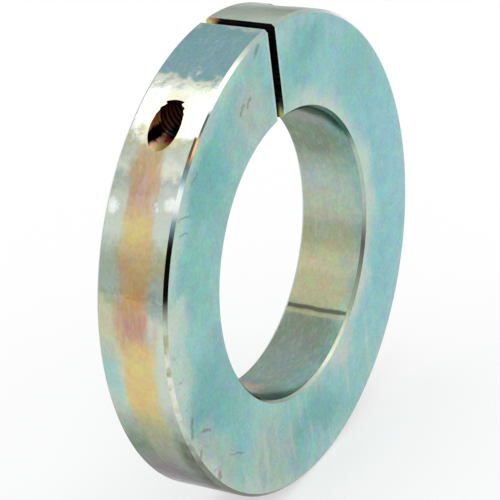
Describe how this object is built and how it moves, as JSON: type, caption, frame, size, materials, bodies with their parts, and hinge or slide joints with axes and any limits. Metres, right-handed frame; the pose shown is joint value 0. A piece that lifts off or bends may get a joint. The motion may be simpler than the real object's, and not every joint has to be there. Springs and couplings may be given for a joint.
{
  "type": "shaft collar",
  "caption": "One-piece clamping shaft collar: a slit ring with chamfered edges, closed on the shaft by a tangential socket head cap screw.",
  "frame": {"origin": "centre of the bore, halfway across the ring's width", "axes": "+Y along the shaft, +Z from the bore's centre through the slit, +X along the clamp screw from its tip to its head"},
  "size_m": [0.08, 0.0126, 0.08],
  "materials": {
    "plated_ring": "machined steel, bright zinc plate with a blue-green iridescent passivation",
    "oxide_screw": "black oxide, lightly oiled"
  },
  "bodies": {
    "ring": {"clamp_ring": "plated_ring"},
    "screw": {"clamp_screw": "oxide_screw"}
  },
  "joints": [
    {"name": "clamp_screw_travel", "type": "slide", "parent": "ring", "child": "screw", "axis": [1, 0, 0], "range_m": [0, 0.012]}
  ]
}
